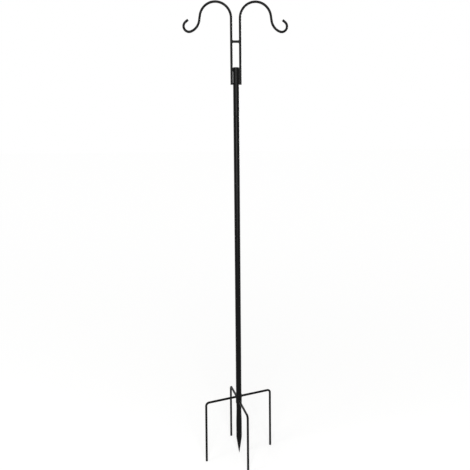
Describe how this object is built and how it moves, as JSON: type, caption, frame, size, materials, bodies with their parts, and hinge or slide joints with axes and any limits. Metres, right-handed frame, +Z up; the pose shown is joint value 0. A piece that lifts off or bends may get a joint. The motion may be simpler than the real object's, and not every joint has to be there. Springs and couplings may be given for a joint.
{
  "type": "hanging plant stand",
  "caption": "Tall black garden pole in plug-together sections with a pair of crook hooks on top and a pronged, staked foot.",
  "frame": {"origin": "on the pole's axis at the level of the prong tips", "axes": "+Z up the pole, +X across the spread of the two hooks, -Y towards the viewer of the picture"},
  "size_m": [0.4314, 0.3176, 1.9962],
  "materials": {
    "black_powder_coat": "satin",
    "coated_weld": "satin",
    "black_steel_screw": "satin",
    "black_plastic": "matte"
  },
  "bodies": {
    "foot": {"lower_pole": "black_powder_coat", "hub_collar": "black_powder_coat", "collar_top_weld": "coated_weld", "collar_bottom_weld": "coated_weld", "long_prong_rod": "black_powder_coat", "cross_prong_rod": "black_powder_coat", "left_prong_weld": "coated_weld", "right_prong_weld": "coated_weld", "back_prong_weld": "coated_weld", "front_prong_weld": "coated_weld", "stake": "black_powder_coat"},
    "middle_section": {"middle_pole": "black_powder_coat"},
    "upper_section": {"upper_pole": "black_powder_coat"},
    "head": {"head_tube": "black_powder_coat", "head_cap": "black_plastic", "left_hook": "black_powder_coat", "right_hook": "black_powder_coat", "cross_bar": "black_powder_coat", "left_cross_bar_weld": "coated_weld", "right_cross_bar_weld": "coated_weld", "left_hook_lower_front_weld": "coated_weld", "left_hook_upper_front_weld": "coated_weld", "right_hook_front_weld": "coated_weld", "left_hook_lower_back_weld": "coated_weld", "left_hook_upper_back_weld": "coated_weld", "right_hook_back_weld": "coated_weld"},
    "upper_screw": {"upper_locking_screw": "black_steel_screw"},
    "middle_screw": {"middle_locking_screw": "black_steel_screw"},
    "lower_screw": {"lower_locking_screw": "black_steel_screw"}
  },
  "joints": [
    {"name": "head_swivel", "type": "hinge", "parent": "upper_section", "child": "head", "pos_m": [0, 0, 1.535], "axis": [0, 0, 1], "continuous": true},
    {"name": "upper_section_lift", "type": "slide", "parent": "middle_section", "child": "upper_section", "axis": [0, 0, 1], "range_m": [0, 0.05]},
    {"name": "middle_section_lift", "type": "slide", "parent": "foot", "child": "middle_section", "axis": [0, 0, 1], "range_m": [0, 0.05]},
    {"name": "upper_screw_turn", "type": "hinge", "parent": "upper_section", "child": "upper_screw", "pos_m": [-0.00823, -0.0098, 1.513], "axis": [-0.6428, -0.766, 0], "range_deg": [0, 720]},
    {"name": "middle_screw_turn", "type": "hinge", "parent": "middle_section", "child": "middle_screw", "pos_m": [0.00396, 0.01217, 1.006], "axis": [0.309, 0.9511, 0], "range_deg": [0, 720]},
    {"name": "lower_screw_turn", "type": "hinge", "parent": "foot", "child": "lower_screw", "pos_m": [-0.00178, 0.01268, 0.499], "axis": [-0.1392, 0.9903, 0], "range_deg": [0, 720]}
  ]
}
